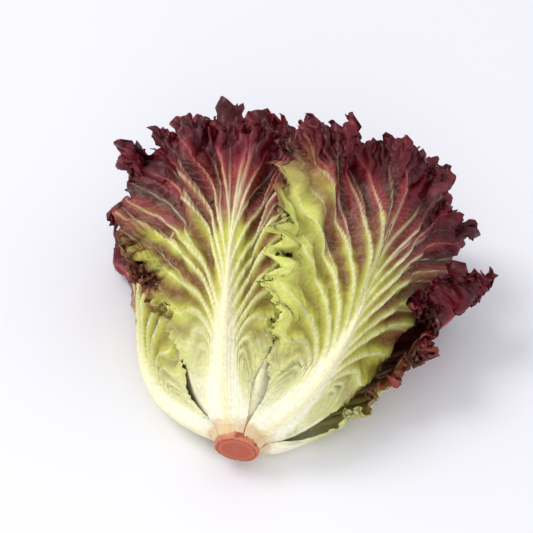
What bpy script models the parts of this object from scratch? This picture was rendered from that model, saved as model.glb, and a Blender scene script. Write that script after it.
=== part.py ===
"""Red leaf lettuce: one cut head of a frilled red lettuce, lying on its side as picked.

Metres, +Z up. The head's axis runs along +Y, with the cut stem at the -Y end, and the head
rests on its lowest leaves. The origin is on the surface, under the middle of the head.

Every leaf is one solid. A leaf is laid out flat first, then wrapped onto one shell of the head:
the shells nest like the turns of a rolled sheet, so leaves on different turns stay clear.
"""

import math

import bpy
import numpy as np

# The head, driving dimensions
STEM_RADIUS = 0.0148
STEM_CUT = -0.0085
CORE_LENGTH = 0.042
CORE_TOP_RADIUS = 0.006
AXIS_TILT = math.radians(7)
AXIS_HEIGHT = 0.021
SPREAD_TOP = 0.090
SPREAD_SIDE = 0.124
SPREAD_LENGTH = 0.185
SPREAD_START = 0.003
SPREAD_POWER_TOP = 0.42
SPREAD_POWER_SIDE = 0.30
FLOOR_GAP = 0.0010
FLOOR_SHARPNESS = 6

# The leaves, driving dimensions
STALK_HALF_ANGLE = 0.62
STALK_NARROWING = 0.5
STALK_NARROW_AT = 0.25
VEIN_CURVE = 2.1
EDGE_V = (0, 0.12, 0.30, 0.50, 0.68, 0.84, 1)
EDGE_ALONG = (1.0, 1.0, 0.97, 0.87, 0.68, 0.44, 0.20)
EDGE_ANGLE = (0, 0.25, 0.62, 0.92, 0.92, 0.78, 0.60)
BLADE_THICKNESS = 0.0008
RIB_THICKNESS = 0.0045
RIB_START = 0.020
FOOT_CLEARANCE = 0.0016
SLOPE_START = 0.040
LEAF_TILT = 0.25

# Where each outer leaf grows, its length, and how far its lower side leans out of the head, in
# shells; outermost leaf first. Azimuths are about the axis, from the top towards +X. The inner
# leaves follow at a constant step.
OUTER_LEAVES = (
    (128, 0.162, 0.04),
    (54, 0.220, 0.00),
    (-20, 0.210, 0.00),
    (-95, 0.186, 0.20),
    (-172, 0.172, 0.00),
    (89, 0.238, 0.00),
    (16, 0.219, 0.00),
    (-59, 0.235, 0.00),
    (-136, 0.196, 0.00),
)
INNER_STEP = -77
INNER_LENGTHS = (0.208, 0.145)
LEAF_COUNT = 19
FULL_DETAIL_LEAVES = 9
SHELL_OUTER = 1.0
SHELL_PER_DEGREE = 0.93 / 1480

# The folds that all leaves share, as shares of the radius
FOLD_COUNTS = (9, 17, 29)
FOLD_SHARES = (0.040, 0.055, 0.030)
FOLD_TURN = 4.0
FOLD_START = 0.030
FOLD_FULL = 0.150

# The waves of one leaf's edge, as shares of the room between two turns
BEND_WAVES = 3
BEND_SHARE = 0.10
FRILL_WAVES = 10
INNER_FRILL_WAVES = 6
FRILL_SHARE = 0.17
FLARED_LEAVES = 4
FLARE_SHELLS = 0.14
FLARE_LOBES = 5
FLARE_FREE_V = 0.15
TOOTH_COUNT = 20
TOOTH_DEPTH = 0.025


def smooth(x):
    """0 below 0, 1 above 1, with a soft start and end."""
    x = np.clip(x, 0.0, 1.0)
    return x * x * (3 - 2 * x)


def curve(x, places, values):
    """A soft curve through a few values."""
    places, values = np.array(places, float), np.array(values, float)
    slopes = np.gradient(values, places)
    i = np.clip(np.searchsorted(places, x, side="right") - 1, 0, len(places) - 2)
    width = places[i + 1] - places[i]
    t = (x - places[i]) / width
    start = (1 + 2 * t) * (1 - t) ** 2 * values[i] + t * (1 - t) ** 2 * width * slopes[i]
    end = t * t * (3 - 2 * t) * values[i + 1] + t * t * (t - 1) * width * slopes[i + 1]
    return start + end


# The shells of the head


def core_radius(y):
    """The core tapers from the cut stem to the heart."""
    share = np.clip(y / CORE_LENGTH, 0, 1)
    return STEM_RADIUS + (CORE_TOP_RADIUS - STEM_RADIUS) * share**1.5


def envelope_radius(y, azimuth):
    """The head's outer shell: free leaves spread above, and the surface holds them below."""
    side = np.sin(azimuth) ** 2
    spread = SPREAD_TOP + (SPREAD_SIDE - SPREAD_TOP) * side
    power = SPREAD_POWER_TOP + (SPREAD_POWER_SIDE - SPREAD_POWER_TOP) * side
    start = SPREAD_START**power
    opening = (np.maximum(y + SPREAD_START, 0) ** power - start) / (
        (SPREAD_LENGTH + SPREAD_START) ** power - start
    )
    free = STEM_RADIUS + (spread - STEM_RADIUS) * opening
    room_below = AXIS_HEIGHT + y * math.sin(AXIS_TILT) - FLOOR_GAP
    downwards = np.maximum(-np.cos(azimuth), 1e-3) * math.cos(AXIS_TILT)
    held = room_below / downwards
    return (free**-FLOOR_SHARPNESS + held**-FLOOR_SHARPNESS) ** (-1 / FLOOR_SHARPNESS)


def first_shell(y):
    """The innermost shell that has already left the core at this distance from the cut."""
    return 1 - np.sqrt(np.clip(y / CORE_LENGTH, 0, 1))


def folds_at(y, azimuth, shell):
    """Lengthwise folds, growing towards the leaves' tips and turning from shell to shell."""
    growth = smooth((y - FOLD_START) / (FOLD_FULL - FOLD_START))
    turn = FOLD_TURN * shell
    waves = [
        share * np.sin(count * azimuth + turn + 1.7 * count)
        for count, share in zip(FOLD_COUNTS, FOLD_SHARES)
    ]
    return growth * sum(waves)


def shell_radius(y, azimuth, shell):
    """Distance from the axis. shell is 0 at the heart and 1 at the outermost leaf."""
    started = first_shell(y)
    share = (shell - started) / np.maximum(1 - started, 0.02)
    inner = core_radius(y)
    return inner + share * (envelope_radius(y, azimuth) - inner) * (1 + folds_at(y, azimuth, shell))


def head_point(y, azimuth, shell):
    """World positions, before the head is centred over the origin."""
    radius = shell_radius(y, azimuth, shell)
    side = radius * np.sin(azimuth)
    up = radius * np.cos(azimuth)
    cos_tilt, sin_tilt = math.cos(AXIS_TILT), math.sin(AXIS_TILT)
    return np.stack(
        [side, y * cos_tilt - up * sin_tilt, AXIS_HEIGHT + y * sin_tilt + up * cos_tilt], axis=-1
    )


# One leaf


class Leaf:
    """Where one leaf grows on the head, and how it is waved."""

    def __init__(self, index, azimuth, turned, length, lean):
        self.index = index
        self.azimuth = math.radians(azimuth)
        self.shell = SHELL_OUTER - turned * SHELL_PER_DEGREE
        self.lean = lean
        self.pitch = 360 * SHELL_PER_DEGREE
        self.length = length
        self.base = self.find_foot()
        self.full_detail = index < FULL_DETAIL_LEAVES
        self.frill_waves = FRILL_WAVES if self.full_detail else INNER_FRILL_WAVES
        draw = np.random.default_rng(140 + index)
        self.phases = draw.uniform(0, 2 * math.pi, 6)
        self.along_steps, self.along_axis = self.follow_shell()
        self.stalk_half_width = STALK_HALF_ANGLE * self.radius_at(0)

    def find_foot(self):
        """The distance from the cut where this shell is one blade clear of the core."""
        y = CORE_LENGTH * (1 - self.shell) ** 2 + np.linspace(0, CORE_LENGTH, 2000)
        clear = [
            shell_radius(y, self.azimuth + swing, self.shell) - core_radius(y)
            for swing in np.linspace(-STALK_HALF_ANGLE, STALK_HALF_ANGLE, 9)
        ]
        return float(y[np.argmax(np.min(clear, axis=0) > FOOT_CLEARANCE)])

    def radius_at(self, along):
        """How far from the axis the leaf's middle is, this far along the leaf."""
        y = np.interp(along, self.along_steps, self.along_axis)
        return float(shell_radius(y, self.azimuth, self.shell))

    def follow_shell(self):
        """Length along the leaf against distance along the axis, down the leaf's middle."""
        axis = np.linspace(self.base, self.base + self.length, 400)
        radius = shell_radius(axis, np.full_like(axis, self.azimuth), self.shell)
        steps = np.hypot(np.diff(axis), np.diff(radius))
        return np.concatenate([[0], np.cumsum(steps)]), axis


def grow_leaves():
    """All leaves, outermost first, each one further round the spiral than the one before."""
    leaves = []
    turned = 0
    for index in range(LEAF_COUNT):
        if index < len(OUTER_LEAVES):
            following, length, lean = OUTER_LEAVES[index]
        else:
            following, lean = azimuth + INNER_STEP, 0
            length = float(np.interp(index, (len(OUTER_LEAVES), LEAF_COUNT - 1), INNER_LENGTHS))
        if index:
            turned += (azimuth - following) % 360
        azimuth = following
        leaves.append(Leaf(index, azimuth, turned, length, lean))
    return leaves


def flat_leaf(leaf, u, v):
    """The leaf laid out: angle from its midrib and length from its foot.

    u runs out along a vein from the stalk's foot to the edge, where it is 1. v is the place on
    the edge, from -1 at one side of the stalk, over the tip at 0, to 1 at the other side.
    """
    place = np.minimum(np.abs(v), 1)
    edge_along = leaf.length * curve(place, EDGE_V, EDGE_ALONG)
    edge_angle = np.sign(v) * curve(place, EDGE_V, EDGE_ANGLE)
    tooth = 1 + TOOTH_DEPTH * smooth((u - 0.94) / 0.06) * np.cos(2 * math.pi * TOOTH_COUNT * v)
    reach = u * tooth
    along = edge_along * reach
    narrowed = 1 - STALK_NARROWING * smooth(along / (STALK_NARROW_AT * leaf.length))
    opened = reach**VEIN_CURVE
    angle = STALK_HALF_ANGLE * narrowed * v * (1 - opened) + edge_angle * opened
    return angle, along


def waves_of(leaf, u, v):
    """How far the blade waves out of its shell, in turns of the spiral."""
    reach = smooth((u - 0.35) / 0.65)
    frill = smooth((u - 0.66) / 0.34)
    near_tip = 0.35 + 0.65 * smooth(1.3 - np.abs(v) * 1.25)
    phase = leaf.phases
    bend = BEND_SHARE * reach * np.sin(math.pi * BEND_WAVES * v + phase[0])
    drift = 0.05 * np.sin(math.pi * v + phase[1])
    edge = FRILL_SHARE * frill * np.sin(math.pi * leaf.frill_waves * (v + drift) + phase[2])
    return (bend + edge) * near_tip


def flare_of(leaf, u, v):
    """How far the free side of an outermost leaf turns outwards in lobes, in shells."""
    if leaf.index >= FLARED_LEAVES:
        return np.zeros_like(u)
    free_side = smooth((FLARE_FREE_V - v) / 0.35) * smooth((v + 1) / 0.25)
    lobes = 0.55 + 0.45 * np.sin(math.pi * FLARE_LOBES * v + leaf.phases[3])
    return FLARE_SHELLS * free_side * lobes * smooth((u - 0.62) / 0.38) ** 1.3


def leaf_middle(leaf, u, v):
    """The middle surface of the leaf in space, between its two faces."""
    swing, along = flat_leaf(leaf, u, v)
    y = np.interp(along, leaf.along_steps, leaf.along_axis)
    side = swing / max(EDGE_ANGLE)
    slope = leaf.lean * (1 - side) / 2 - leaf.pitch * LEAF_TILT * side
    shell = leaf.shell + slope * smooth(along / SLOPE_START)
    shell = shell + leaf.pitch * waves_of(leaf, u, v) + flare_of(leaf, u, v)
    return head_point(y, leaf.azimuth + swing, shell)


def rib_swell(leaf, u, v):
    """Extra thickness of the midrib on the leaf's outer face, as far as the turn has room."""
    swing, along = flat_leaf(leaf, u, v)
    y = np.interp(along, leaf.along_steps, leaf.along_axis)
    across = swing * shell_radius(y, leaf.azimuth, leaf.shell)
    room = leaf.pitch * (
        shell_radius(y, leaf.azimuth, leaf.shell) - shell_radius(y, leaf.azimuth, leaf.shell - 1)
    )
    rib_half_width = leaf.stalk_half_width * (1 - 0.85 * u)
    profile = np.exp(-((across / rib_half_width) ** 2))
    spare = np.maximum(0.5 * (room - 3 * BLADE_THICKNESS), 0)
    height = np.minimum(RIB_THICKNESS, spare) * smooth(along / RIB_START) * (1 - smooth(u * 1.15))
    return height * profile


def leaf_rows(leaf):
    """The grid's rows from the foot to the edge: u, and the number of cells across."""
    if leaf.full_detail:
        levels = (
            (10, (0, 0.04, 0.12, 0.30)),
            (20, (0.46, 0.60, 0.71)),
            (40, (0.80, 0.88, 0.94)),
            (80, (1.0,)),
        )
    else:
        levels = ((8, (0, 0.08, 0.22, 0.42)), (16, (0.60, 0.76)), (32, (0.90, 1.0)))
    return [(u, cells) for cells, places in levels for u in places]


def strip(lower, upper):
    """Triangles between two rows of vertex numbers. The upper may have twice the cells."""
    made = []
    if len(upper) == len(lower):
        for a, b, c, d in zip(lower, lower[1:], upper, upper[1:]):
            made += [(a, b, d), (a, d, c)]
        return made
    for i, (a, b) in enumerate(zip(lower, lower[1:])):
        c, d, e = upper[2 * i : 2 * i + 3]
        made += [(a, d, c), (a, b, d), (b, e, d)]
    return made


def corner_normals(points, triangles):
    """The outward direction at every point of the middle surface, from the facets round it."""
    normals = np.zeros_like(points)
    for corner in range(3):
        here, after, before = (triangles[:, (corner + k) % 3] for k in range(3))
        one = points[after] - points[here]
        other = points[before] - points[here]
        facing = np.cross(one, other)
        lengths = np.linalg.norm(one, axis=1) * np.linalg.norm(other, axis=1)
        opening = np.arctan2(np.linalg.norm(facing, axis=1), np.sum(one * other, axis=1))
        np.add.at(normals, here, facing / lengths[:, None] * opening[:, None])
    return normals / np.linalg.norm(normals, axis=1, keepdims=True)


def leaf_mesh(leaf):
    """One closed body: the two faces, split alike, and the rim that joins them."""
    rows, u_all, v_all = [], [], []
    for u, cells in leaf_rows(leaf):
        first = len(u_all)
        v = np.linspace(-1, 1, cells + 1)
        rows.append(list(range(first, first + len(v))))
        u_all += [u] * len(v)
        v_all += list(v)
    u_all, v_all = np.array(u_all, float), np.array(v_all, float)
    count = len(u_all)
    face = [t for lower, upper in zip(rows, rows[1:]) for t in strip(lower, upper)]
    rim = rows[0] + [r[-1] for r in rows[1:-1]] + rows[-1][::-1] + [r[0] for r in rows[-2:0:-1]]
    middle = leaf_middle(leaf, u_all, v_all)
    outwards = corner_normals(middle, np.array(face))
    half = BLADE_THICKNESS / 2
    outer = middle + outwards * (half + rib_swell(leaf, u_all, v_all))[:, None]
    inner = middle - outwards * half
    outer[:, 2] = np.maximum(outer[:, 2], 0)
    inner[:, 2] = np.maximum(inner[:, 2], BLADE_THICKNESS)
    triangles = list(face)
    triangles += [(c + count, b + count, a + count) for a, b, c in face]
    for a, b in zip(rim, rim[1:] + rim[:1]):
        triangles += [(b, a, b + count), (b + count, a, a + count)]
    return np.concatenate([outer, inner]), triangles


# The stem


def stem_mesh(sides=28):
    """The cut stem and the core above it, on which the leaves grow."""
    cut_edge = STEM_CUT + 0.0006
    distances = [STEM_CUT, cut_edge, 0.0, 0.012, 0.026, 0.040, CORE_LENGTH - 0.003, CORE_LENGTH]
    radii = [STEM_RADIUS * 0.92, STEM_RADIUS * 0.98, STEM_RADIUS]
    radii += [float(core_radius(y)) for y in distances[3:6]] + [CORE_TOP_RADIUS, 0.004]
    cos_tilt, sin_tilt = math.cos(AXIS_TILT), math.sin(AXIS_TILT)
    points, rings = [], []
    for y, radius in zip(distances, radii):
        ring = []
        for i in range(sides):
            angle = 2 * math.pi * i / sides
            side, up = radius * math.sin(angle), radius * math.cos(angle)
            ring.append(len(points))
            points.append(
                (side, y * cos_tilt - up * sin_tilt, AXIS_HEIGHT + y * sin_tilt + up * cos_tilt)
            )
        rings.append(ring)
    triangles = []
    for lower, upper in zip(rings, rings[1:]):
        for i in range(sides):
            j = (i + 1) % sides
            triangles += [(lower[i], lower[j], upper[j]), (lower[i], upper[j], upper[i])]
    for ring, y, turned in ((rings[0], distances[0], True), (rings[-1], distances[-1], False)):
        centre = len(points)
        points.append((0.0, y * cos_tilt, AXIS_HEIGHT + y * sin_tilt))
        for i in range(sides):
            j = (i + 1) % sides
            triangles.append((ring[j], ring[i], centre) if turned else (ring[i], ring[j], centre))
    return np.array(points), triangles


# Materials and objects


def material_of(name, colour, roughness):
    material = bpy.data.materials.new(name)
    material.use_nodes = True
    shader = material.node_tree.nodes["Principled BSDF"]
    shader.inputs["Base Color"].default_value = (*colour, 1)
    shader.inputs["Roughness"].default_value = roughness
    shader.inputs["Metallic"].default_value = 0
    return material


def add_object(name, points, triangles, material):
    mesh = bpy.data.meshes.new(name)
    mesh.from_pydata([tuple(p) for p in points], [], triangles)
    mesh.update()
    mesh.materials.append(material)
    mesh.shade_smooth()
    obj = bpy.data.objects.new(name, mesh)
    bpy.context.scene.collection.objects.link(obj)
    return obj


def centre_over_origin(objects):
    """Moves every mesh so that the origin is on the surface, under the middle of the head."""
    points = np.concatenate([[v.co for v in obj.data.vertices] for obj in objects])
    middle = (points.min(axis=0) + points.max(axis=0)) / 2
    for obj in objects:
        for vertex in obj.data.vertices:
            vertex.co.x -= middle[0]
            vertex.co.y -= middle[1]


def main():
    for obj in list(bpy.data.objects):
        bpy.data.objects.remove(obj)
    stem_colour = material_of("cut_stem", (0.60, 0.24, 0.14), 0.6)
    outer_colour = material_of("outer_leaf", (0.55, 0.47, 0.22), 0.45)
    inner_colour = material_of("inner_leaf", (0.24, 0.06, 0.06), 0.45)
    objects = [add_object("stem", *stem_mesh(), stem_colour)]
    for leaf in grow_leaves():
        colour = outer_colour if leaf.full_detail else inner_colour
        objects.append(add_object(f"leaf_{leaf.index + 1:02d}", *leaf_mesh(leaf), colour))
    centre_over_origin(objects)


main()
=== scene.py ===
"""Red leaf lettuce: the looks of the cut head, built on the frame of its leaves and stem.

Every leaf is drawn again as one thin closed blade. It follows the same shell of the head as the
leaf of the frame, and adds the raised veins, the crimped edge with its points, and the blisters
between the veins. Colour runs from the white stalk over green to a maroon edge. The stem is
drawn again with the rings of its cut face. Lengths are in metres.
"""

import math

import bpy
import numpy as np
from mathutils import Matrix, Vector


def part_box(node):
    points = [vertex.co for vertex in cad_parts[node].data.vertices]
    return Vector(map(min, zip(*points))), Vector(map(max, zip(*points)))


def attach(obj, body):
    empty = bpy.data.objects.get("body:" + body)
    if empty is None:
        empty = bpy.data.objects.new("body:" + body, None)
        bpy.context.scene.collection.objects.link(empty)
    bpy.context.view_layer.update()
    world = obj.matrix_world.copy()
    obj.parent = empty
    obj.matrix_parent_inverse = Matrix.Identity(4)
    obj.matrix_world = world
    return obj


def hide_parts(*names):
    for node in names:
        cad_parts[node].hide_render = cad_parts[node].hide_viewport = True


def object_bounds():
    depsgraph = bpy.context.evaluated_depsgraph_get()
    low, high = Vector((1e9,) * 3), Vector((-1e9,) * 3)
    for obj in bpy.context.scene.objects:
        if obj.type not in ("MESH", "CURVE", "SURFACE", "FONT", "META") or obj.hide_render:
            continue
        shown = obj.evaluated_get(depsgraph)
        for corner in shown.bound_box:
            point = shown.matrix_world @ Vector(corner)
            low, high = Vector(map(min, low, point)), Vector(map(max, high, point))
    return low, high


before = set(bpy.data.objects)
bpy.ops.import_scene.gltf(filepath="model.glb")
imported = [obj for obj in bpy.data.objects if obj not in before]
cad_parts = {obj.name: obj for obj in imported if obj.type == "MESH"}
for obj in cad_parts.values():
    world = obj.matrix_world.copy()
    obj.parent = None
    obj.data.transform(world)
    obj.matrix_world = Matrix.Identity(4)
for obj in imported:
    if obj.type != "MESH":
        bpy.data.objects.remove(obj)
cad_low, cad_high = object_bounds()

# The head, as in the frame
STEM_RADIUS = 0.0148
STEM_CUT = -0.0085
CORE_LENGTH = 0.042
CORE_TOP_RADIUS = 0.006
AXIS_TILT = math.radians(7)
AXIS_HEIGHT = 0.021
SPREAD_TOP = 0.090
SPREAD_SIDE = 0.124
SPREAD_LENGTH = 0.185
SPREAD_START = 0.003
SPREAD_POWER_TOP = 0.42
SPREAD_POWER_SIDE = 0.30
FLOOR_GAP = 0.0010
FLOOR_SHARPNESS = 6
CUT_RIM_DEPTH = 0.0006
CUT_RIM_SHARE = 0.98

# The leaves, as in the frame
STALK_HALF_ANGLE = 0.62
STALK_NARROWING = 0.5
STALK_NARROW_AT = 0.25
VEIN_CURVE = 2.1
EDGE_V = (0, 0.12, 0.30, 0.50, 0.68, 0.84, 1)
EDGE_ALONG = (1.0, 1.0, 0.97, 0.87, 0.68, 0.44, 0.20)
EDGE_ANGLE = (0, 0.25, 0.62, 0.92, 0.92, 0.78, 0.60)
FOOT_CLEARANCE = 0.0016
SLOPE_START = 0.040
LEAF_TILT = 0.25
OUTER_LEAVES = (
    (128, 0.162, 0.04),
    (54, 0.220, 0.00),
    (-20, 0.210, 0.00),
    (-95, 0.186, 0.20),
    (-172, 0.172, 0.00),
    (89, 0.238, 0.00),
    (16, 0.219, 0.00),
    (-59, 0.235, 0.00),
    (-136, 0.196, 0.00),
)
INNER_STEP = -77
INNER_LENGTHS = (0.208, 0.145)
LEAF_COUNT = 19
FULL_DETAIL_LEAVES = 9
SHELL_OUTER = 1.0
SHELL_PER_DEGREE = 0.93 / 1480
FOLD_COUNTS = (9, 17, 29)
FOLD_SHARES = (0.040, 0.055, 0.030)
FOLD_TURN = 4.0
FOLD_START = 0.030
FOLD_FULL = 0.150
BEND_WAVES = 3
BEND_SHARE = 0.10
FRILL_WAVES = 10
INNER_FRILL_WAVES = 6
FRILL_SHARE = 0.17
FLARED_LEAVES = 4
FLARE_SHELLS = 0.14
FLARE_LOBES = 5
FLARE_FREE_V = 0.15

# The fine form of a leaf. A pair of values is for its low sides and for its tip.
FINEST_LEAVES = 4
PHASE_SEED = 140
VEIN_SEED = 300
BLADE_HALF = 0.00022
RIB_THICKNESS = 0.0048
MIDRIB_HALF_WIDTH = 0.0046
MIDRIB_HEIGHT = 0.0018
TURN_CLEARANCE = 0.0024
LEAST_RIB = 0.0012
FOOT_REACH = 0.0062
FOOT_ROWS = 4
OUTER_FOOT_SHARE = 0.97
INNER_FOOT_SHARE = 0.93
EDGE_START_U = 0.15
FREE_START = 0.30
LOWEST_LEAF_FREE_START = 0.10
FLUTE_LENGTHS = (0.018, 0.030)
FLUTE_HEIGHTS = (0.0010, 0.0064)
FLUTE_REACHES = (0.0080, 0.0620)
FREE_FLUTE_HEIGHT = 0.0058
FREE_FLUTE_REACH = 0.030
CRIMP_LENGTHS = (0.0070, 0.0095)
CRIMP_HEIGHTS = (0.0011, 0.0050)
CRIMP_REACHES = (0.0060, 0.0340)
FREE_CRIMP_HEIGHT = 0.0042
FREE_CRIMP_REACH = 0.016
CURL_LENGTHS = (0.0044, 0.0050)
CURL_HEIGHTS = (0.0006, 0.0023)
CURL_REACHES = (0.0030, 0.0180)
POINT_SPACING = 0.0072
POINT_HEIGHT = 0.0080
POINT_REACH = 0.0110
SPIKE_SPACING = 0.0040
SPIKE_HEIGHT = 0.0044
SPIKE_REACH = 0.0070
STAR_LEAF = 1
STAR_SPACING = 0.021
STAR_HEIGHT = 0.016
STAR_REACH = 0.026
STAR_LIFT = 0.006
VEIN_COUNT = 31
VEIN_SPREAD = 1.62
VEIN_BUNDLE = 0.13
VEIN_HEIGHT = 0.0013
MIDRIB_VEIN_WIDTH = 0.0030
SIDE_VEIN_WIDTH = 0.0012
PLEAT_DEPTH = 0.0028
PLEAT_LIFT = 0.0012
BLISTER_HEIGHT = 0.0020
STRAND_HEIGHT = 0.00020
STRAND_COUNT = 9

# The fine pieces may pass the frame's box by BOX_ROOM of its size, and are drawn back by BOX_PULL
# of what goes beyond that. The outer and inner faces keep these heights over the floor.
BOX_ROOM = 0.012
BOX_PULL = 0.65
OUTER_FLOOR = 0.0002
INNER_FLOOR = 0.0006

# Where each outer leaf starts to turn red, as shares of its length: near the side where v is -1,
# and over the rest of the leaf. The inner leaves share one start.
RED_STARTS = (
    (0.46, 0.36),
    (0.88, 0.57),
    (0.53, 0.55),
    (0.50, 0.56),
    (0.46, 0.46),
    (0.38, 0.38),
    (0.34, 0.34),
    (0.36, 0.40),
    (0.44, 0.44),
)
INNER_RED_START = (0.34, 0.34)

# The values of every vertex that the leaf's material reads
FIELD_NAMES = ("height", "stalk", "red", "rib_red", "vein", "valley", "lime")

# The stem's cut face and side: height above the cut and share of the stem's radius; then the
# heights of the core's rings
STEM_SIDES = 180
STEM_PROFILE = (
    (0.0002, 0.0),
    (0.0001, 0.30),
    (0.0002, 0.60),
    (0.0003, 0.80),
    (0.0004, 0.90),
    (0.0007, 0.955),
    (0.0013, 0.975),
    (0.0025, 0.985),
    (0.0040, 0.99),
    (0.0060, 0.995),
)
CORE_HEIGHTS = (0.001, 0.004, 0.008, 0.014, 0.022, 0.030, 0.037)
CORE_SHARE = 0.99
CORE_RING_VALUE = 1.05


def smooth(x):
    """0 below 0, 1 above 1, with a soft start and end."""
    x = np.clip(x, 0.0, 1.0)
    return x * x * (3 - 2 * x)


def curve(x, places, values):
    """A soft curve through a few values."""
    places, values = np.array(places, float), np.array(values, float)
    slopes = np.gradient(values, places)
    i = np.clip(np.searchsorted(places, x, side="right") - 1, 0, len(places) - 2)
    width = places[i + 1] - places[i]
    t = (x - places[i]) / width
    start = (1 + 2 * t) * (1 - t) ** 2 * values[i] + t * (1 - t) ** 2 * width * slopes[i]
    end = t * t * (3 - 2 * t) * values[i + 1] + t * t * (t - 1) * width * slopes[i + 1]
    return start + end


# The shells of the head


def core_radius(y):
    """Radius of the stem and its core at a height."""
    share = np.clip(y / CORE_LENGTH, 0, 1)
    return STEM_RADIUS + (CORE_TOP_RADIUS - STEM_RADIUS) * share**1.5


def envelope_radius(y, azimuth):
    """Radius of the outermost shell, which stays above the floor."""
    side = np.sin(azimuth) ** 2
    spread = SPREAD_TOP + (SPREAD_SIDE - SPREAD_TOP) * side
    power = SPREAD_POWER_TOP + (SPREAD_POWER_SIDE - SPREAD_POWER_TOP) * side
    start = SPREAD_START**power
    opening = (np.maximum(y + SPREAD_START, 0) ** power - start) / (
        (SPREAD_LENGTH + SPREAD_START) ** power - start
    )
    free = STEM_RADIUS + (spread - STEM_RADIUS) * opening
    room_below = AXIS_HEIGHT + y * math.sin(AXIS_TILT) - FLOOR_GAP
    downwards = np.maximum(-np.cos(azimuth), 1e-3) * math.cos(AXIS_TILT)
    held = room_below / downwards
    return (free**-FLOOR_SHARPNESS + held**-FLOOR_SHARPNESS) ** (-1 / FLOOR_SHARPNESS)


def folds_at(y, azimuth, shell):
    """The folds that all leaves share, as a share of the radius."""
    growth = smooth((y - FOLD_START) / (FOLD_FULL - FOLD_START))
    turn = FOLD_TURN * shell
    waves = [
        share * np.sin(count * azimuth + turn + 1.7 * count)
        for count, share in zip(FOLD_COUNTS, FOLD_SHARES)
    ]
    return growth * sum(waves)


def shell_radius(y, azimuth, shell):
    """Radius of one shell: 1 is the outermost, 0 the core."""
    started = 1 - np.sqrt(np.clip(y / CORE_LENGTH, 0, 1))
    share = (shell - started) / np.maximum(1 - started, 0.02)
    inner = core_radius(y)
    return inner + share * (envelope_radius(y, azimuth) - inner) * (1 + folds_at(y, azimuth, shell))


def axis_point(side, y, up):
    """World positions from places beside, along and above the head's axis."""
    cos_tilt, sin_tilt = math.cos(AXIS_TILT), math.sin(AXIS_TILT)
    return np.stack(
        [
            side + SHIFT[0],
            y * cos_tilt - up * sin_tilt + SHIFT[1],
            AXIS_HEIGHT + y * sin_tilt + up * cos_tilt,
        ],
        axis=-1,
    )


def head_point(y, azimuth, shell):
    """World position of a place on a shell."""
    radius = shell_radius(y, azimuth, shell)
    return axis_point(radius * np.sin(azimuth), y, radius * np.cos(azimuth))


def frame_shift():
    """How far the frame was moved to bring its middle over the origin, read from its stem."""
    low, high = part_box("stem")
    cut_edge = STEM_CUT + CUT_RIM_DEPTH
    front = cut_edge * math.cos(AXIS_TILT) - CUT_RIM_SHARE * STEM_RADIUS * math.sin(AXIS_TILT)
    return (low[0] + high[0]) / 2, low[1] - front


SHIFT = frame_shift()


# One leaf


class Leaf:
    """Where one leaf grows on the head, and the phases of its waves."""

    def __init__(self, index, azimuth, turned, length, lean):
        self.name = f"leaf_{index + 1:02d}"
        self.index = index
        self.azimuth = math.radians(azimuth)
        self.shell = SHELL_OUTER - turned * SHELL_PER_DEGREE
        self.lean = lean
        self.pitch = 360 * SHELL_PER_DEGREE
        self.length = length
        self.base = self.find_foot()
        self.frill_waves = FRILL_WAVES if index < FULL_DETAIL_LEAVES else INNER_FRILL_WAVES
        draw = np.random.default_rng(PHASE_SEED + index)
        self.phases = draw.uniform(0, 2 * math.pi, 6)
        self.fine_phases = draw.uniform(0, 2 * math.pi, 16)
        self.along_steps, self.along_axis = self.follow_shell()
        self.stalk_half_width = STALK_HALF_ANGLE * self.radius_at(0)

    def find_foot(self):
        """The height at which the whole stalk has come clear of the core."""
        y = CORE_LENGTH * (1 - self.shell) ** 2 + np.linspace(0, CORE_LENGTH, 2000)
        clear = [
            shell_radius(y, self.azimuth + swing, self.shell) - core_radius(y)
            for swing in np.linspace(-STALK_HALF_ANGLE, STALK_HALF_ANGLE, 9)
        ]
        return float(y[np.argmax(np.min(clear, axis=0) > FOOT_CLEARANCE)])

    def radius_at(self, along):
        y = np.interp(along, self.along_steps, self.along_axis)
        return float(shell_radius(y, self.azimuth, self.shell))

    def follow_shell(self):
        """Lengths along the midrib, and the heights on the axis that they reach."""
        axis = np.linspace(self.base, self.base + self.length, 400)
        radius = shell_radius(axis, np.full_like(axis, self.azimuth), self.shell)
        steps = np.hypot(np.diff(axis), np.diff(radius))
        return np.concatenate([[0], np.cumsum(steps)]), axis


def grow_leaves():
    """All leaves, outermost first, each one further round the spiral than the one before."""
    leaves = []
    turned = 0
    for index in range(LEAF_COUNT):
        if index < len(OUTER_LEAVES):
            following, length, lean = OUTER_LEAVES[index]
        else:
            following, lean = azimuth + INNER_STEP, 0
            length = float(np.interp(index, (len(OUTER_LEAVES), LEAF_COUNT - 1), INNER_LENGTHS))
        if index:
            turned += (azimuth - following) % 360
        azimuth = following
        leaves.append(Leaf(index, azimuth, turned, length, lean))
    return leaves


def flat_leaf(leaf, u, v):
    """The leaf laid out: angle from its midrib and length from its foot."""
    place = np.minimum(np.abs(v), 1)
    edge_along = leaf.length * curve(place, EDGE_V, EDGE_ALONG)
    edge_angle = np.sign(v) * curve(place, EDGE_V, EDGE_ANGLE)
    along = edge_along * u
    narrowed = 1 - STALK_NARROWING * smooth(along / (STALK_NARROW_AT * leaf.length))
    opened = u**VEIN_CURVE
    angle = STALK_HALF_ANGLE * narrowed * v * (1 - opened) + edge_angle * opened
    return angle, along


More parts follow.
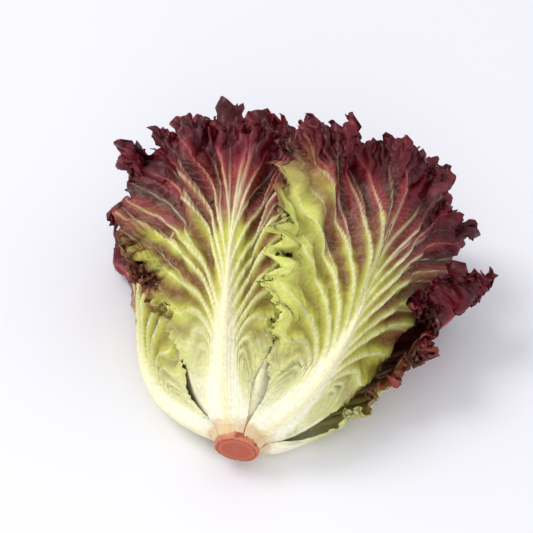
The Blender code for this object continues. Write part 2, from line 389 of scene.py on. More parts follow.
def waves_of(leaf, u, v):
    """How far the blade waves out of its shell, in turns of the spiral."""
    reach = smooth((u - 0.35) / 0.65)
    frill = smooth((u - 0.66) / 0.34)
    near_tip = 0.35 + 0.65 * smooth(1.3 - np.abs(v) * 1.25)
    phase = leaf.phases
    bend = BEND_SHARE * reach * np.sin(math.pi * BEND_WAVES * v + phase[0])
    drift = 0.05 * np.sin(math.pi * v + phase[1])
    edge = FRILL_SHARE * frill * np.sin(math.pi * leaf.frill_waves * (v + drift) + phase[2])
    return (bend + edge) * near_tip


def flare_of(leaf, u, v):
    """How far the free side of an outermost leaf turns outwards in lobes, in shells."""
    free = free_side(leaf, v) * smooth((v + 1) / 0.25)
    lobes = 0.55 + 0.45 * np.sin(math.pi * FLARE_LOBES * v + leaf.phases[3])
    return FLARE_SHELLS * free * lobes * smooth((u - 0.62) / 0.38) ** 1.3


def leaf_middle(leaf, u, v):
    """The middle surface of the leaf with its large waves, as in the frame."""
    swing, along = flat_leaf(leaf, u, v)
    y = np.interp(along, leaf.along_steps, leaf.along_axis)
    side = swing / max(EDGE_ANGLE)
    slope = leaf.lean * (1 - side) / 2 - leaf.pitch * LEAF_TILT * side
    shell = leaf.shell + slope * smooth(along / SLOPE_START)
    shell = shell + leaf.pitch * waves_of(leaf, u, v) + flare_of(leaf, u, v)
    return head_point(y, leaf.azimuth + swing, shell)


def directions(surface):
    """Unit directions of a grid of points: out of the head, across the leaf and to its edge."""
    along = np.gradient(surface, axis=0)
    across = np.gradient(surface, axis=1)
    normal = np.cross(across, along)
    normal /= np.maximum(np.linalg.norm(normal, axis=-1, keepdims=True), 1e-12)
    across /= np.maximum(np.linalg.norm(across, axis=-1, keepdims=True), 1e-12)
    return normal, across, np.cross(normal, across)


def pleated(leaf, surface, u, v, valley):
    """The blade with its pleats: crests along the veins, valleys between them."""
    depth = smooth((u - 0.12) / 0.3) * (1 - 0.6 * smooth((u - 0.75) / 0.25))
    depth = depth * smooth((1 - np.abs(v)) * 5)
    lift = PLEAT_LIFT if leaf.index < FLARED_LEAVES else 0
    normal, _, _ = directions(surface)
    return surface + normal * (depth * (lift - valley))[..., None]


def softened(values, count):
    """Values along a line, each one the mean of its neighbours on both sides."""
    padded = np.concatenate([values[:1].repeat(count, 0), values, values[-1:].repeat(count, 0)])
    sums = np.cumsum(np.concatenate([0 * padded[:1], padded]), axis=0)
    return (sums[2 * count + 1 :] - sums[: -2 * count - 1]) / (2 * count + 1)


class Edge:
    """For every point of a leaf's grid, its place beside the nearest stretch of free edge."""

    def __init__(self, leaf, surface, u, v, along):
        start = int(np.argmax(u[:, 0] >= EDGE_START_U))

        def round_the_leaf(grid):
            return np.concatenate([grid[start:-1, 0], grid[-1], grid[-2 : start - 1 : -1, -1]])

        line = softened(round_the_leaf(surface), 2)
        steps = np.gradient(line, axis=0)
        lengths = np.linalg.norm(steps, axis=1)
        tangent = softened(steps / np.maximum(lengths[:, None], 1e-9), 4)
        normal = softened(round_the_leaf(directions(surface)[0]), 4)
        arc = np.concatenate([[0], np.cumsum(np.linalg.norm(np.diff(line, axis=0), axis=1))])
        height = round_the_leaf(along) / leaf.length
        nearest = np.empty(u.shape, int)
        for row, points in enumerate(surface):
            gaps = (line**2).sum(1) - 2 * points @ line.T
            nearest[row] = np.argmin(gaps, axis=1)
        away = surface - line[nearest]
        self.tangent = tangent[nearest]
        ahead = np.clip((away * self.tangent).sum(-1), -0.002, 0.002)
        self.distance = np.sqrt(np.maximum((away**2).sum(-1) - ahead**2, 0))
        self.arc = arc[nearest] + ahead
        self.height = height[nearest]
        self.v = round_the_leaf(v)[nearest]
        outwards = np.cross(normal, tangent)
        self.outwards = (outwards / np.linalg.norm(outwards, axis=1, keepdims=True))[nearest]
        self.line_arc, self.line_height = arc, height

    def grown(self, low_and_high):
        """A size that grows from the low sides of the leaf to its tip."""
        low, high = low_and_high
        return low + (high - low) * smooth((self.height - 0.18) / 0.42)

    def waves_passed(self, lengths):
        """How many waves lie between the start of the edge and each place, growing in length."""
        low, high = lengths
        lengths_here = low + (high - low) * smooth((self.line_height - 0.12) / 0.50)
        passed = np.concatenate([[0], np.cumsum(np.diff(self.line_arc) / lengths_here[1:])])
        return np.interp(self.arc, self.line_arc, passed)

    def share(self, reach):
        """1 on the edge, falling to 0 at a distance from it."""
        return np.clip(1 - self.distance / reach, 0, 1)


def star_side(leaf, v):
    """1 along the part of an edge that is cut into large pointed stars."""
    if leaf.index != STAR_LEAF:
        return np.zeros_like(v)
    return smooth((-v - 0.36) / 0.14) * smooth((v + 0.96) / 0.1)


def flat_share(edge):
    """1 where an edge lies under the next leaf and has no room for its frills."""
    return smooth((edge.v - 0.15) / 0.30) * (1 - smooth((edge.height - 0.60) / 0.20))


def free_side(leaf, v):
    """1 along the side of an outermost leaf that no other leaf covers."""
    if leaf.index >= FLARED_LEAVES:
        return np.zeros_like(v)
    return smooth((FLARE_FREE_V - v) / 0.35)


def teeth(place):
    """Pointed teeth of height 1, one for every whole number."""
    return 1 - 2 * np.abs(place - np.round(place))


def pointed(leaf, surface, edge):
    """The blade with the pointed teeth of its edge, and the large stars of one side."""
    p = leaf.fine_phases
    place = edge.arc / POINT_SPACING + 0.45 * np.sin(310 * edge.arc + p[0])
    size = 0.62 + 0.30 * np.sin(130 * edge.arc + p[2]) + 0.22 * np.sin(370 * edge.arc + p[3])
    starred = star_side(leaf, edge.v)
    low = smooth((edge.height - 0.10) / 0.4)
    height = POINT_HEIGHT * (0.15 + 0.85 * low) * (1 - 0.4 * starred)
    grown = height * (teeth(place) ** 1.2 * size - 0.32) * edge.share(POINT_REACH)
    place = edge.arc / STAR_SPACING + 0.30 * np.sin(95 * edge.arc + p[1])
    grown += STAR_HEIGHT * starred * (teeth(place) ** 1.4 - 0.30) * edge.share(STAR_REACH)
    lift = STAR_LIFT * starred * edge.share(STAR_REACH)
    normal, _, _ = directions(surface)
    return surface + edge.outwards * grown[..., None] + normal * lift[..., None]


def spiked(leaf, surface, edge):
    """The blade with the small sharp spikes that stand on its curls."""
    p = leaf.fine_phases
    place = edge.arc / SPIKE_SPACING + 0.35 * np.sin(430 * edge.arc + p[13])
    size = 0.70 + 0.40 * np.sin(230 * edge.arc + p[12])
    high = smooth((edge.height - 0.15) / 0.3) * (1 - 0.6 * star_side(leaf, edge.v))
    grown = SPIKE_HEIGHT * high * (teeth(place) ** 1.3 * size - 0.25) * edge.share(SPIKE_REACH)
    _, _, outwards = directions(surface)
    return surface + outwards * grown[..., None]


def curled(surface, edge, height, turn, reach):
    """A surface whose edge winds like a drawn-out coil: out of it, and to and fro along it."""
    normal, _, _ = directions(surface)
    outwards = edge.outwards - normal * (edge.outwards * normal).sum(-1, keepdims=True)
    raised = surface + normal * (height * np.sin(turn))[..., None]
    raised += outwards * (reach * height * np.cos(turn))[..., None]
    return raised - edge.tangent * (0.20 * height * np.sin(2 * turn))[..., None]


def frilled(leaf, surface, u, v, along):
    """The blade with its curly edge: loose frills, crimps on them, and tight curls on those."""
    p = leaf.fine_phases
    edge = Edge(leaf, surface, u, v, along)
    starred = star_side(leaf, edge.v)
    surface = pointed(leaf, surface, edge)
    arc, inwards = edge.arc, edge.distance
    loose = smooth((edge.height - 0.10) / 0.16)
    if leaf.index:
        loose = loose * (1 - 0.75 * flat_share(edge))
    free_start = FREE_START if leaf.index else LOWEST_LEAF_FREE_START
    free = free_side(leaf, edge.v) * smooth((edge.height - free_start) / 0.2)
    # Loose frills
    reach = np.maximum(edge.grown(FLUTE_REACHES), free * FREE_FLUTE_REACH)
    size = np.maximum(edge.grown(FLUTE_HEIGHTS), free * FREE_FLUTE_HEIGHT)
    growth = edge.share(reach) ** 1.5 * (1 - 0.6 * starred) * loose
    height = growth * size * (0.8 + 0.3 * np.sin(37 * arc + p[10]))
    turn = 2 * math.pi * edge.waves_passed(FLUTE_LENGTHS) + 1.2 * np.sin(41 * arc + p[11])
    surface = curled(surface, edge, height, turn, 0.35)
    # Crimps
    reach = np.maximum(edge.grown(CRIMP_REACHES), free * FREE_CRIMP_REACH)
    size = np.maximum(edge.grown(CRIMP_HEIGHTS), free * FREE_CRIMP_HEIGHT)
    growth = edge.share(reach) ** 1.3 * (1 - 0.75 * starred) * loose
    height = growth * size * (0.85 + 0.3 * np.sin(60 * arc + p[6]))
    turn = 2 * math.pi * edge.waves_passed(CRIMP_LENGTHS)
    turn += 1.3 * np.sin(75 * arc + p[4]) + 0.8 * np.sin(190 * arc + p[5])
    turn += 1.1 * np.sin(inwards * 300 + 45 * arc + p[15])
    surface = curled(surface, edge, height, turn, 0.55)
    # Tight curls
    growth = edge.share(edge.grown(CURL_REACHES)) ** 1.2 * (1 - 0.9 * starred) * loose
    height = growth * edge.grown(CURL_HEIGHTS) * (0.85 + 0.35 * np.sin(140 * arc + p[3]))
    turn = 2 * math.pi * edge.waves_passed(CURL_LENGTHS)
    turn += 1.4 * np.sin(110 * arc + p[7]) + 1.0 * np.sin(260 * arc + p[8])
    turn += 1.3 * np.sin(inwards * 700 - 120 * arc + p[9])
    return spiked(leaf, curled(surface, edge, height, turn, 0.60), edge)


def vein_ends(leaf):
    """Where the side veins would meet the edge: values of v, 0 for the midrib, beyond 1 below."""
    even = np.linspace(-VEIN_SPREAD, VEIN_SPREAD, VEIN_COUNT)
    draw = np.random.default_rng(VEIN_SEED + leaf.index)
    ends = even + draw.uniform(-0.25, 0.25, VEIN_COUNT) * (even[1] - even[0])
    ends[VEIN_COUNT // 2] = 0
    return ends


def vein_paths(ends, u):
    """Where the veins run at each u: close to the midrib first, then out to the edge in turn."""
    ends = ends.reshape(-1, 1, 1)
    inside = np.clip(1 - np.abs(ends), 0, 1)
    below = np.clip((np.abs(ends) - 1) / (VEIN_SPREAD - 1), 0, 1)
    leaving = 0.12 + 0.48 * inside**1.3 - 0.10 * below
    out = np.clip((u - leaving) / (1 - leaving), 0, 1)
    early = 1.35 + 1.5 * smooth((np.abs(ends) - 0.30) / 0.5)
    return ends * (VEIN_BUNDLE + (1 - VEIN_BUNDLE) * (1 - (1 - out) ** early))


def vein_relief(leaf, u, v, metric, height):
    """Raised veins, and the pleats between them. metric is metres for one step of v."""
    ends = vein_ends(leaf)
    paths = vein_paths(ends, u)
    total = np.zeros_like(u)
    nearest = np.full_like(u, 1.0)
    room = np.zeros_like(u)
    started = smooth((height - 0.06) / 0.26)
    for k, path in enumerate(paths):
        middle = k == VEIN_COUNT // 2
        width = (MIDRIB_VEIN_WIDTH if middle else SIDE_VEIN_WIDTH) * (1 - 0.6 * u)
        away = np.abs(v - path) * metric
        strength = 1 - 0.5 * smooth((u - 0.6) / 0.4)
        if not middle:
            strength = strength * started
        total = np.maximum(total, strength * np.exp(-((away / width) ** 2)))
        nearest = np.minimum(nearest, away)
        if k + 1 < len(paths):
            gap = paths[k + 1] - path
            between = (v >= path) & (v < paths[k + 1])
            room = np.where(between, gap * metric, room)
            start = 0.45 + 0.2 * ((k * 7) % 5) / 5
            fork = path + gap * 0.5 * smooth((u - start) / 0.4) ** 0.8
            away = (v - fork) * metric
            strength = 0.7 * smooth((u - start) / 0.1) * (1 - 0.4 * smooth((u - 0.7) / 0.3))
            total = np.maximum(total, strength * np.exp(-((away / (width * 0.75)) ** 2)))
    share = np.clip(2 * nearest / np.maximum(room, 1e-5), 0, 1)
    from_midrib = np.abs(v - paths[VEIN_COUNT // 2]) * metric
    valley = started * smooth(share) * np.minimum(room * 0.24, PLEAT_DEPTH)
    return total, valley * smooth((from_midrib - 0.004) / 0.010)


def blisters(leaf, along, across):
    """Soft swellings of the blade between its veins, 0 to 1."""
    p = leaf.fine_phases
    a, b = along * 1000, across * 1000
    first = np.sin(a * 0.52 + 1.6 * np.sin(b * 0.21 + p[10]) + p[11])
    second = np.sin(b * 0.46 + 1.7 * np.sin(a * 0.17 + p[12]) + 0.2 * a)
    third = np.sin(a * 0.9 + b * 0.7 + p[13]) * np.sin(a * 0.35 - b * 0.8)
    return 0.5 + 0.2 * first + 0.17 * second + 0.13 * third


def leaf_fields(leaf, u, v):
    """Outer and inner face of the fine leaf on a grid, and what colours it."""
    middle = leaf_middle(leaf, u, v)
    swing, along = flat_leaf(leaf, u, v)
    metric = np.linalg.norm(np.gradient(middle, axis=1), axis=-1) / np.gradient(v, axis=1)
    vein, valley = vein_relief(leaf, u, v, metric, along / leaf.length)
    centre = frilled(leaf, pleated(leaf, middle, u, v, valley), u, v, along)
    normal, _, _ = directions(centre)
    growth = smooth(along / 0.045) * (1 - 0.6 * smooth((u - 0.8) / 0.2))
    y = np.interp(along, leaf.along_steps, leaf.along_axis)
    across = swing * shell_radius(y, leaf.azimuth, leaf.shell)
    bumps = blisters(leaf, along, across)
    relief = VEIN_HEIGHT * vein * growth
    blistered = smooth((u - 0.2) / 0.25) * smooth((along / leaf.length - 0.08) / 0.2)
    relief += BLISTER_HEIGHT * (bumps - 0.5) * (1 - vein) * blistered
    rib_half_width = leaf.stalk_half_width * (0.95 * (1 - u) ** 1.8 + 0.10)
    spare = np.maximum(0.5 * (room_in_turn(leaf, y) - TURN_CLEARANCE), LEAST_RIB)
    rib = np.minimum(RIB_THICKNESS, spare) * (1 - smooth(u * 1.1))
    rib = rib * np.exp(-((across / rib_half_width) ** 2))
    ridge = np.exp(-((across / (MIDRIB_HALF_WIDTH * (1 - 0.75 * u))) ** 4))
    ridge = MIDRIB_HEIGHT * ridge * smooth(along / 0.05) * (1 - smooth((u - 0.35) / 0.45))
    strands = STRAND_HEIGHT * np.cos(2 * math.pi * v * STRAND_COUNT) * (1 - smooth(u / 0.5))
    strands = strands * smooth(along / 0.02)
    outer = centre + normal * (BLADE_HALF + rib + ridge + relief + strands)[..., None]
    inner = centre - normal * (BLADE_HALF - relief)[..., None]
    fields = {"height": along / leaf.length, "vein": vein, "valley": valley / PLEAT_DEPTH}
    fields["stalk"] = np.clip(1.4 - np.abs(across) / rib_half_width, 0, 1)
    fields["red"], fields["rib_red"] = redness_of(leaf, u, v, fields["height"], fields["valley"])
    fields["lime"] = star_side(leaf, v) * smooth((u - 0.60) / 0.3)
    fields["across"], fields["along"] = across, along
    return outer, inner, fields


def join_to_stem(leaf, face, v, share_of_stem):
    """Rows of one face that run from the stem's side up to the leaf's foot."""
    azimuth = leaf.azimuth + STALK_HALF_ANGLE * v
    radius = share_of_stem * STEM_RADIUS
    on_stem = axis_point(
        radius * np.sin(azimuth), np.full_like(v, leaf.base - FOOT_REACH), radius * np.cos(azimuth)
    )
    shares = smooth(np.linspace(0, 1, FOOT_ROWS, endpoint=False))
    return [on_stem + (face[0] - on_stem) * share for share in shares]


def room_in_turn(leaf, y):
    """The room between a leaf and the leaf one turn further in."""
    inner = shell_radius(y, leaf.azimuth, leaf.shell - 1)
    return leaf.pitch * (shell_radius(y, leaf.azimuth, leaf.shell) - inner)


def leaf_rows(leaf):
    """The grid's rows from the foot to the edge: u, and the number of cells across."""
    if leaf.index < FINEST_LEAVES:
        bands = ((100, 0.0, 0.28, 10), (200, 0.28, 0.52, 13), (400, 0.52, 0.88, 24))
        bands += ((800, 0.88, 1.0, 13),)
    elif leaf.index < FULL_DETAIL_LEAVES:
        bands = ((50, 0.0, 0.28, 8), (100, 0.28, 0.52, 10), (200, 0.52, 0.76, 14))
        bands += ((400, 0.76, 0.90, 12), (800, 0.90, 1.0, 9))
    else:
        bands = ((40, 0.0, 0.4, 8), (80, 0.4, 0.7, 10), (160, 0.7, 0.9, 10), (320, 0.9, 1.0, 8))
    rows = []
    for cells, start, end, count in bands:
        rows += [(u, cells) for u in np.linspace(start, end, count, endpoint=False)]
    return rows + [(1.0, bands[-1][0])]


def strip(lower, upper):
    """Faces between two rows of vertex numbers. The upper may have twice the cells."""
    if len(upper) == len(lower):
        return [(a, b, d, c) for a, b, c, d in zip(lower, lower[1:], upper, upper[1:])]
    made = []
    for i, (a, b) in enumerate(zip(lower, lower[1:])):
        c, d, e = upper[2 * i : 2 * i + 3]
        made += [(a, d, c), (a, b, d), (b, e, d)]
    return made


def held_in_box(points, floor):
    """Points on or above the floor, and those well outside the frame's box drawn back to it."""
    low, high = np.array(cad_low), np.array(cad_high)
    room = BOX_ROOM * (high - low)
    over = points - np.clip(points, low - room, high + room)
    held = points - BOX_PULL * over
    held[..., 2] = np.maximum(held[..., 2], floor)
    return held


def redness_of(leaf, u, v, height, valley):
    """How red the blade and its veins are: 0 green, 1 maroon. Valleys turn red first."""
    lower, higher = RED_STARTS[leaf.index] if leaf.index < len(RED_STARTS) else INNER_RED_START
    start = lower + (higher - lower) * smooth((v + 0.68) / 0.42)
    reach = smooth((height - start) / 0.32)
    edge = smooth((u - 0.82) / 0.18) * smooth((height - start + 0.30) / 0.25)
    deep = valley * smooth((height - start + 0.26) / 0.24)
    rib = smooth((height - start - 0.14) / 0.36) + 0.4 * edge
    tips = star_side(leaf, v) * smooth((u - 0.955) / 0.045) * smooth((height - 0.50) / 0.2)
    red = 0.80 * reach + 0.35 * edge + 0.45 * deep + 0.6 * tips
    return np.clip(red, 0, 1), np.clip(rib, 0, 1)


def blade_faces(picked):
    """Faces of a closed blade: one side, the other side split alike, and the rim between them."""
    numbers = np.cumsum(picked.ravel()).reshape(picked.shape) - 1
    rows = [row[kept].tolist() for row, kept in zip(numbers, picked)]
    count = int(picked.sum())
    faces = [face for lower, upper in zip(rows, rows[1:]) for face in strip(lower, upper)]
    other_side = [tuple(i + count for i in reversed(face)) for face in faces]
    rim = rows[0] + [r[-1] for r in rows[1:-1]] + rows[-1][::-1] + [r[0] for r in rows[-2:0:-1]]
    joined = [(b, a, a + count, b + count) for a, b in zip(rim, rim[1:] + rim[:1])]
    return faces + other_side + joined


def add_object(name, points, faces, material):
    """A mesh of one material, linked to the scene."""
    mesh = bpy.data.meshes.new(name)
    mesh.from_pydata(points, [], faces)
    mesh.update()
    mesh.materials.append(material)
    obj = bpy.data.objects.new(name, mesh)
    bpy.context.scene.collection.objects.link(obj)
    return obj


def store(obj, name, values):
    """One number or one vector for every vertex, for the material to read."""
    kind, field = ("FLOAT_VECTOR", "vector") if values.ndim == 2 else ("FLOAT", "value")
    layer = obj.data.attributes.new(name, kind, "POINT")
    layer.data.foreach_set(field, values.astype(np.float32).ravel())


def put_in_frame(obj, node):
    """A smooth piece that stands in for one node of the frame."""
    obj.data.shade_smooth()
    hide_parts(node)
    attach(obj, "root")


def add_leaf(leaf, material):
    """One closed piece for a leaf, from the side of the stem to the frilled edge."""
    heights, cells = zip(*leaf_rows(leaf))
    v_row = np.linspace(-1, 1, cells[-1] + 1)
    u, v = np.meshgrid(heights, v_row, indexing="ij")
    outer, inner, fields = leaf_fields(leaf, u, v)
    outer = np.concatenate([join_to_stem(leaf, outer, v_row, OUTER_FOOT_SHARE), outer])
    inner = np.concatenate([join_to_stem(leaf, inner, v_row, INNER_FOOT_SHARE), inner])
    outer, inner = held_in_box(outer, OUTER_FLOOR), held_in_box(inner, INNER_FLOOR)
    fields = {name: np.concatenate([[f[0]] * FOOT_ROWS, f]) for name, f in fields.items()}
    fields["height"][:FOOT_ROWS] = -0.1 * np.linspace(1, 0, FOOT_ROWS, endpoint=False)[:, None]
    picked = np.zeros(outer.shape[:2], bool)
    for row, count in enumerate([cells[0]] * FOOT_ROWS + list(cells)):
        picked[row, :: cells[-1] // count] = True
    points = np.concatenate([outer[picked], inner[picked]]).tolist()
    obj = add_object("fine_" + leaf.name, points, blade_faces(picked), material)
    for name in FIELD_NAMES:
        store(obj, name, np.tile(fields[name][picked], 2))
    side_count = int(picked.sum())
    store(obj, "inside", np.repeat([0.0, 1.0], side_count))
    layer_of_leaf = np.full(side_count, 0.37 * leaf.index)
    place = np.stack([fields["across"][picked], fields["along"][picked], layer_of_leaf], 1)
    store(obj, "place", np.tile(place, (2, 1)))
    put_in_frame(obj, leaf.name)


# Materials


def linear(red, green, blue):
    """A colour given as 0 to 255 on screen, as the shader wants it."""
    parts = [c / 255 for c in (red, green, blue)]
    return (*[c / 12.92 if c <= 0.04045 else ((c + 0.055) / 1.055) ** 2.4 for c in parts], 1)


def grey(value):
    return (value, value, value, 1)


STALK_WHITE = linear(247, 243, 216)
STAR_LIME = linear(224, 228, 122)
FOOT_BROWN = linear(208, 164, 104)
# Painted shade: the colours the pleat valleys between the veins are darkened towards. This is
# partly the leaf's own darker colour there and partly painted shade in the hollows.
VALLEY_OLIVE_WITH_SHADE = linear(130, 108, 30)
VALLEY_MAROON_WITH_SHADE = linear(44, 5, 9)
BLADE_STOPS = (
    (0.0, linear(200, 202, 84)),
    (0.16, linear(172, 162, 66)),
    (0.32, linear(152, 104, 56)),
    (0.52, linear(138, 54, 60)),
    (0.78, linear(142, 27, 46)),
    (1.0, linear(98, 10, 26)),
)
RIB_STOPS = (
    (0.0, linear(240, 233, 186)),
    (0.25, linear(214, 196, 134)),
    (0.55, linear(186, 116, 108)),
    (1.0, linear(158, 62, 78)),
)
PALENESS_STOPS = ((0.0, grey(1)), (0.05, grey(0.85)), (0.16, grey(0.4)), (0.34, grey(0)))
SCAR_BROWN = linear(150, 78, 52)
CUT_STOPS = (
    (0.0, linear(192, 98, 72)),
    (0.52, linear(180, 84, 60)),
    (0.70, linear(196, 104, 72)),
    (0.765, linear(148, 58, 44)),
    (0.82, linear(206, 118, 84)),
    (0.87, linear(198, 126, 88)),
    (0.92, linear(222, 178, 130)),
)


class Nodes:
    """Short names for adding and joining shader nodes."""

    def __init__(self, material):
        material.use_nodes = True
        self.tree = material.node_tree
        self.shader = self.tree.nodes["Principled BSDF"]

    def add(self, kind, **values):
        node = self.tree.nodes.new(kind)
        for name, value in values.items():
            setattr(node, name, value)
        return node

    def join(self, source, target):
        self.tree.links.new(source, target)

    def put(self, value, socket):
        if hasattr(value, "is_output"):
            self.join(value, socket)
        else:
            socket.default_value = value

    def attribute(self, name):
        node = self.add("ShaderNodeAttribute", attribute_name=name)
        return node.outputs["Vector"] if name == "place" else node.outputs["Fac"]

    def math(self, operation, first, second=0.0, third=0.0):
        node = self.add("ShaderNodeMath", operation=operation)
        for value, socket in zip((first, second, third), node.inputs):
            self.put(value, socket)
        return node.outputs[0]

    def mix(self, share, first, second):
        node = self.add("ShaderNodeMix", data_type="RGBA", clamp_factor=True)
        self.put(share, node.inputs["Factor"])
        self.put(first, node.inputs["A"])
        self.put(second, node.inputs["B"])
        return node.outputs["Result"]

    def ramp(self, value, stops):
        node = self.add("ShaderNodeValToRGB")
        elements = node.color_ramp.elements
        for i, (position, colour) in enumerate(stops):
            element = elements[i] if i < 2 else elements.new(position)
            element.position = position
            element.color = colour
        self.join(value, node.inputs["Fac"])
        return node.outputs["Color"]

    def noise(self, place, scale, detail=3.0, roughness=0.55):
        node = self.add("ShaderNodeTexNoise")
        self.join(place, node.inputs["Vector"])
        node.inputs["Scale"].default_value = scale
        node.inputs["Detail"].default_value = detail
        node.inputs["Roughness"].default_value = roughness
        return node.outputs["Fac"]

    def cells(self, place, scale):
        node = self.add("ShaderNodeTexVoronoi", feature="DISTANCE_TO_EDGE")
        self.join(place, node.inputs["Vector"])
        node.inputs["Scale"].default_value = scale
        return node.outputs["Distance"]


def leaf_material():
    """White stalk, green blade and maroon edge, with pale veins and a fine net between them."""
    material = bpy.data.materials.new("lettuce_leaf")
    n = Nodes(material)
    place = n.attribute("place")
    height, red, valley = n.attribute("height"), n.attribute("red"), n.attribute("valley")
    stalk, rib_red = n.attribute("stalk"), n.attribute("rib_red")
    vein, inside = n.attribute("vein"), n.attribute("inside")
    patches = n.math("SUBTRACT", n.noise(place, 38.0), 0.5)
    bent = n.add("ShaderNodeVectorMath", operation="MULTIPLY_ADD")
    n.join(n.noise(place, 160.0), bent.inputs[0])
    bent.inputs[1].default_value = (0.009, 0.009, 0.009)
    n.join(place, bent.inputs[2])
    blotches = n.math("SUBTRACT", n.noise(place, 110.0), 0.5)
    specks = n.math("SUBTRACT", n.noise(place, 420.0), 0.5)
    uneven = n.math("MULTIPLY_ADD", patches, 1.2, n.math("MULTIPLY", blotches, 0.6))
    uneven = n.math("MULTIPLY_ADD", specks, 0.25, uneven)
    half_red = n.math("MULTIPLY", red, n.math("SUBTRACT", 1.0, red))
    mid_red = n.math("MULTIPLY_ADD", half_red, 3.2, 0.15)
    redder = n.math("MULTIPLY_ADD", uneven, mid_red, red)
    redder = n.math("MULTIPLY_ADD", inside, n.math("MULTIPLY", red, 0.25), redder)
    blade = n.ramp(redder, BLADE_STOPS)
    # Painted shade in the pleat valleys: the deeper the valley, the more the blade is darkened,
    # towards dark olive where green and near-black maroon where red. This is partly the leaf's own
    # colour between its veins and partly painted shade.
    deep = n.math("MULTIPLY", valley, n.math("MULTIPLY_ADD", blotches, 0.9, 0.85))
    valley_colour_and_shade = n.mix(redder, VALLEY_OLIVE_WITH_SHADE, VALLEY_MAROON_WITH_SHADE)
    blade = n.mix(n.math("MULTIPLY", deep, 0.85), blade, valley_colour_and_shade)
    low = n.math("MULTIPLY_ADD", stalk, -0.34, n.math("MULTIPLY_ADD", uneven, 0.14, height))
    paleness = n.ramp(low, PALENESS_STOPS)
    blade = n.mix(paleness, blade, STALK_WHITE)
    lime = n.math("MULTIPLY", n.attribute("lime"), n.math("MULTIPLY_ADD", uneven, 0.5, 0.65))
    lime = n.math("MULTIPLY", lime, n.math("SUBTRACT", 1.0, red))
    blade = n.mix(lime, blade, STAR_LIME)
    ribs = n.ramp(rib_red, RIB_STOPS)
    net = n.math("SUBTRACT", 1.0, n.math("MULTIPLY", n.cells(bent.outputs[0], 230.0), 8.0))
    net = n.math("MULTIPLY", n.math("MAXIMUM", net, 0.0), 0.09)
    shown = n.math("MAXIMUM", n.math("MULTIPLY", vein, 0.9), net)
    colour = n.mix(shown, blade, ribs)
    cut = n.math("MULTIPLY_ADD", blotches, 0.05, height)
    browned = n.ramp(cut, ((0.0, grey(0.65)), (0.028, grey(0))))
    colour = n.mix(browned, colour, FOOT_BROWN)
    shade = n.math("MULTIPLY_ADD", specks, 0.55, 1.0)
    tone = n.add("ShaderNodeVectorMath", operation="SCALE")
    n.join(colour, tone.inputs[0])
    n.join(shade, tone.inputs["Scale"])
    n.join(tone.outputs[0], n.shader.inputs["Base Color"])
    rough = n.math("MULTIPLY_ADD", specks, 0.3, 0.40)
    n.join(rough, n.shader.inputs["Roughness"])
    n.shader.inputs["Specular IOR Level"].default_value = 0.30
    n.shader.inputs["Subsurface Weight"].default_value = 0.15
    n.shader.inputs["Subsurface Radius"].default_value = (0.8, 0.6, 0.25)
    n.shader.inputs["Subsurface Scale"].default_value = 0.003
    bump = n.add("ShaderNodeBump")
    bump.inputs["Strength"].default_value = 0.5
    bump.inputs["Distance"].default_value = 0.0006
    n.join(n.math("MULTIPLY_ADD", net, 3.0, specks), bump.inputs["Height"])
    n.join(bump.outputs["Normal"], n.shader.inputs["Normal"])
    return material


def stem_material():
    """The cut face: salmon flesh inside a darker ring, and a rusty side."""
    material = bpy.data.materials.new("lettuce_stem")
    n = Nodes(material)
    place = n.attribute("place")
    ring = n.attribute("ring")
    speckle = n.noise(place, 500.0)
    scars = n.noise(place, 170.0, 4.0, 0.7)
    ringed = n.math("MULTIPLY_ADD", speckle, 0.16, n.math("MULTIPLY", ring, 0.8))
    flesh = n.ramp(ringed, CUT_STOPS)
    scarred = n.ramp(scars, ((0.50, grey(0)), (0.62, grey(1))))
    on_side = n.math("GREATER_THAN", ring, 0.965)
    flesh = n.mix(n.math("MULTIPLY", scarred, on_side), flesh, SCAR_BROWN)
    n.join(flesh, n.shader.inputs["Base Color"])
    n.shader.inputs["Roughness"].default_value = 0.55
    n.shader.inputs["Subsurface Weight"].default_value = 0.15
    n.shader.inputs["Subsurface Scale"].default_value = 0.002
    bump = n.add("ShaderNodeBump")
    bump.inputs["Strength"].default_value = 0.6
    bump.inputs["Distance"].default_value = 0.0005
    n.join(speckle, bump.inputs["Height"])
    n.join(bump.outputs["Normal"], n.shader.inputs["Normal"])
    return material


def add_stem(material):
    """The cut stem and its core, with the scars of lost leaves on its side."""
    profile = [(STEM_CUT + y, share) for y, share in STEM_PROFILE]
    profile += [(y, None) for y in CORE_HEIGHTS]
    angles = np.linspace(0, 2 * math.pi, STEM_SIDES, endpoint=False)
    points, rings, ring_values = [], [], []
    for y, share in profile[1:]:
        on_core = share is None
        radius = float(core_radius(y)) * CORE_SHARE if on_core else STEM_RADIUS * share
        wobble = 1 + 0.02 * np.sin(3 * angles + 1) + 0.012 * np.sin(7 * angles + 2)
        rough = 0.00012 * np.sin(23 * angles + 900 * y) + 0.00010 * np.sin(41 * angles - 1500 * y)
        around = radius * wobble + rough * (radius / STEM_RADIUS)
        heights = np.full(STEM_SIDES, y) + rough
        ring = axis_point(around * np.sin(angles), heights, around * np.cos(angles))
        rings.append(list(range(len(points), len(points) + STEM_SIDES)))
        points += ring.tolist()
        ring_values += [CORE_RING_VALUE if on_core else share] * STEM_SIDES
    faces = []
    for lower, upper in zip(rings, rings[1:]):
        for i in range(STEM_SIDES):
            j = (i + 1) % STEM_SIDES
            faces.append((lower[i], lower[j], upper[j], upper[i]))
    for ring, y, turned in ((rings[0], profile[0][0], True), (rings[-1], profile[-1][0], False)):
        centre = len(points)
        points.append(axis_point(np.array(0.0), np.array(y), np.array(0.0)).tolist())
        ring_values.append(0.0)
        for i in range(STEM_SIDES):
            j = (i + 1) % STEM_SIDES
            faces.append((ring[j], ring[i], centre) if turned else (ring[i], ring[j], centre))
    obj = add_object("fine_stem", points, faces, material)
    store(obj, "ring", np.array(ring_values))
    store(obj, "place", np.array(points))
    put_in_frame(obj, "stem")


# Floor, light and camera


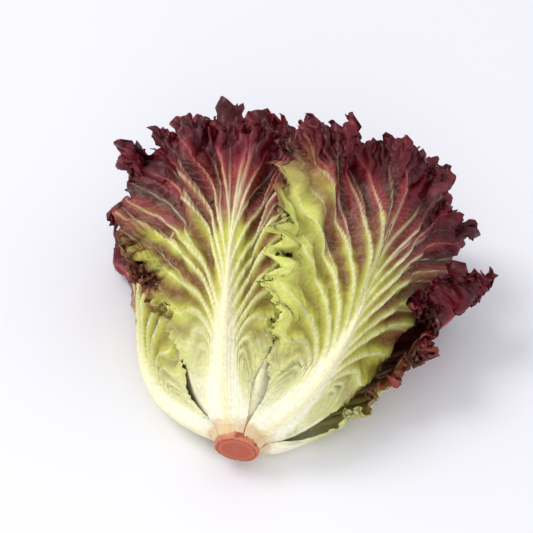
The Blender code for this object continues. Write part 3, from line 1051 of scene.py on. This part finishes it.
HEAD_MIDDLE = Vector((0, 0, 0.05))
CAMERA_TARGET = Vector((-0.0175, 0.018, 0.0500))
CAMERA_AZIMUTH = math.radians(11)
CAMERA_ELEVATION = math.radians(45.5)
CAMERA_DISTANCE = 0.87


def add_floor():
    """A wide pale floor that bends up far behind the head."""
    rows = [(-4.0, 0.0), (4.0, 0.0), (5.0, 0.3), (5.6, 1.0), (5.8, 4.0)]
    points = [(x, y, z) for y, z in rows for x in (-6.0, 6.0)]
    faces = [(2 * i, 2 * i + 1, 2 * i + 3, 2 * i + 2) for i in range(len(rows) - 1)]
    material = bpy.data.materials.new("floor")
    shader = Nodes(material).shader
    shader.inputs["Base Color"].default_value = (0.825, 0.82, 0.85, 1)
    shader.inputs["Roughness"].default_value = 0.6
    shader.inputs["Specular IOR Level"].default_value = 0.2
    add_object("floor", points, faces, material)


def add_area(name, place, size, watts, colour):
    """A soft round light that points at the head."""
    light = bpy.data.lights.new(name, "AREA")
    light.shape = "DISK"
    light.size = size
    light.energy = watts
    light.color = colour
    obj = bpy.data.objects.new(name, light)
    obj.location = place
    obj.rotation_euler = (HEAD_MIDDLE - Vector(place)).to_track_quat("-Z", "Y").to_euler()
    bpy.context.scene.collection.objects.link(obj)


def add_light():
    """A pale sky, a large light from the upper left and a weak one from the front."""
    world = bpy.data.worlds.new("studio")
    world.use_nodes = True
    background = world.node_tree.nodes["Background"]
    background.inputs["Color"].default_value = (0.93, 0.94, 1.0, 1)
    background.inputs["Strength"].default_value = 0.84
    bpy.context.scene.world = world
    add_area("key", (-2.4, 0.3, 3.2), 1.9, 64, (1.0, 0.98, 0.95))
    add_area("front", (0.3, -1.5, 1.0), 1.0, 6.5, (1.0, 0.99, 0.97))


def add_camera():
    """The camera at the photograph's angle."""
    data = bpy.data.cameras.new("camera")
    data.lens = 85
    data.sensor_width = 36
    camera = bpy.data.objects.new("camera", data)
    sideways = math.sin(CAMERA_AZIMUTH) * math.cos(CAMERA_ELEVATION)
    forwards = -math.cos(CAMERA_AZIMUTH) * math.cos(CAMERA_ELEVATION)
    back = Vector((sideways, forwards, math.sin(CAMERA_ELEVATION)))
    camera.location = CAMERA_TARGET + back * CAMERA_DISTANCE
    camera.rotation_euler = (-back).to_track_quat("-Z", "Y").to_euler()
    bpy.context.scene.collection.objects.link(camera)
    bpy.context.scene.camera = camera


def main():
    leaf_look = leaf_material()
    for leaf in grow_leaves():
        add_leaf(leaf, leaf_look)
    add_stem(stem_material())
    add_floor()
    add_light()
    add_camera()
    bpy.context.scene.view_settings.view_transform = "Standard"


main()
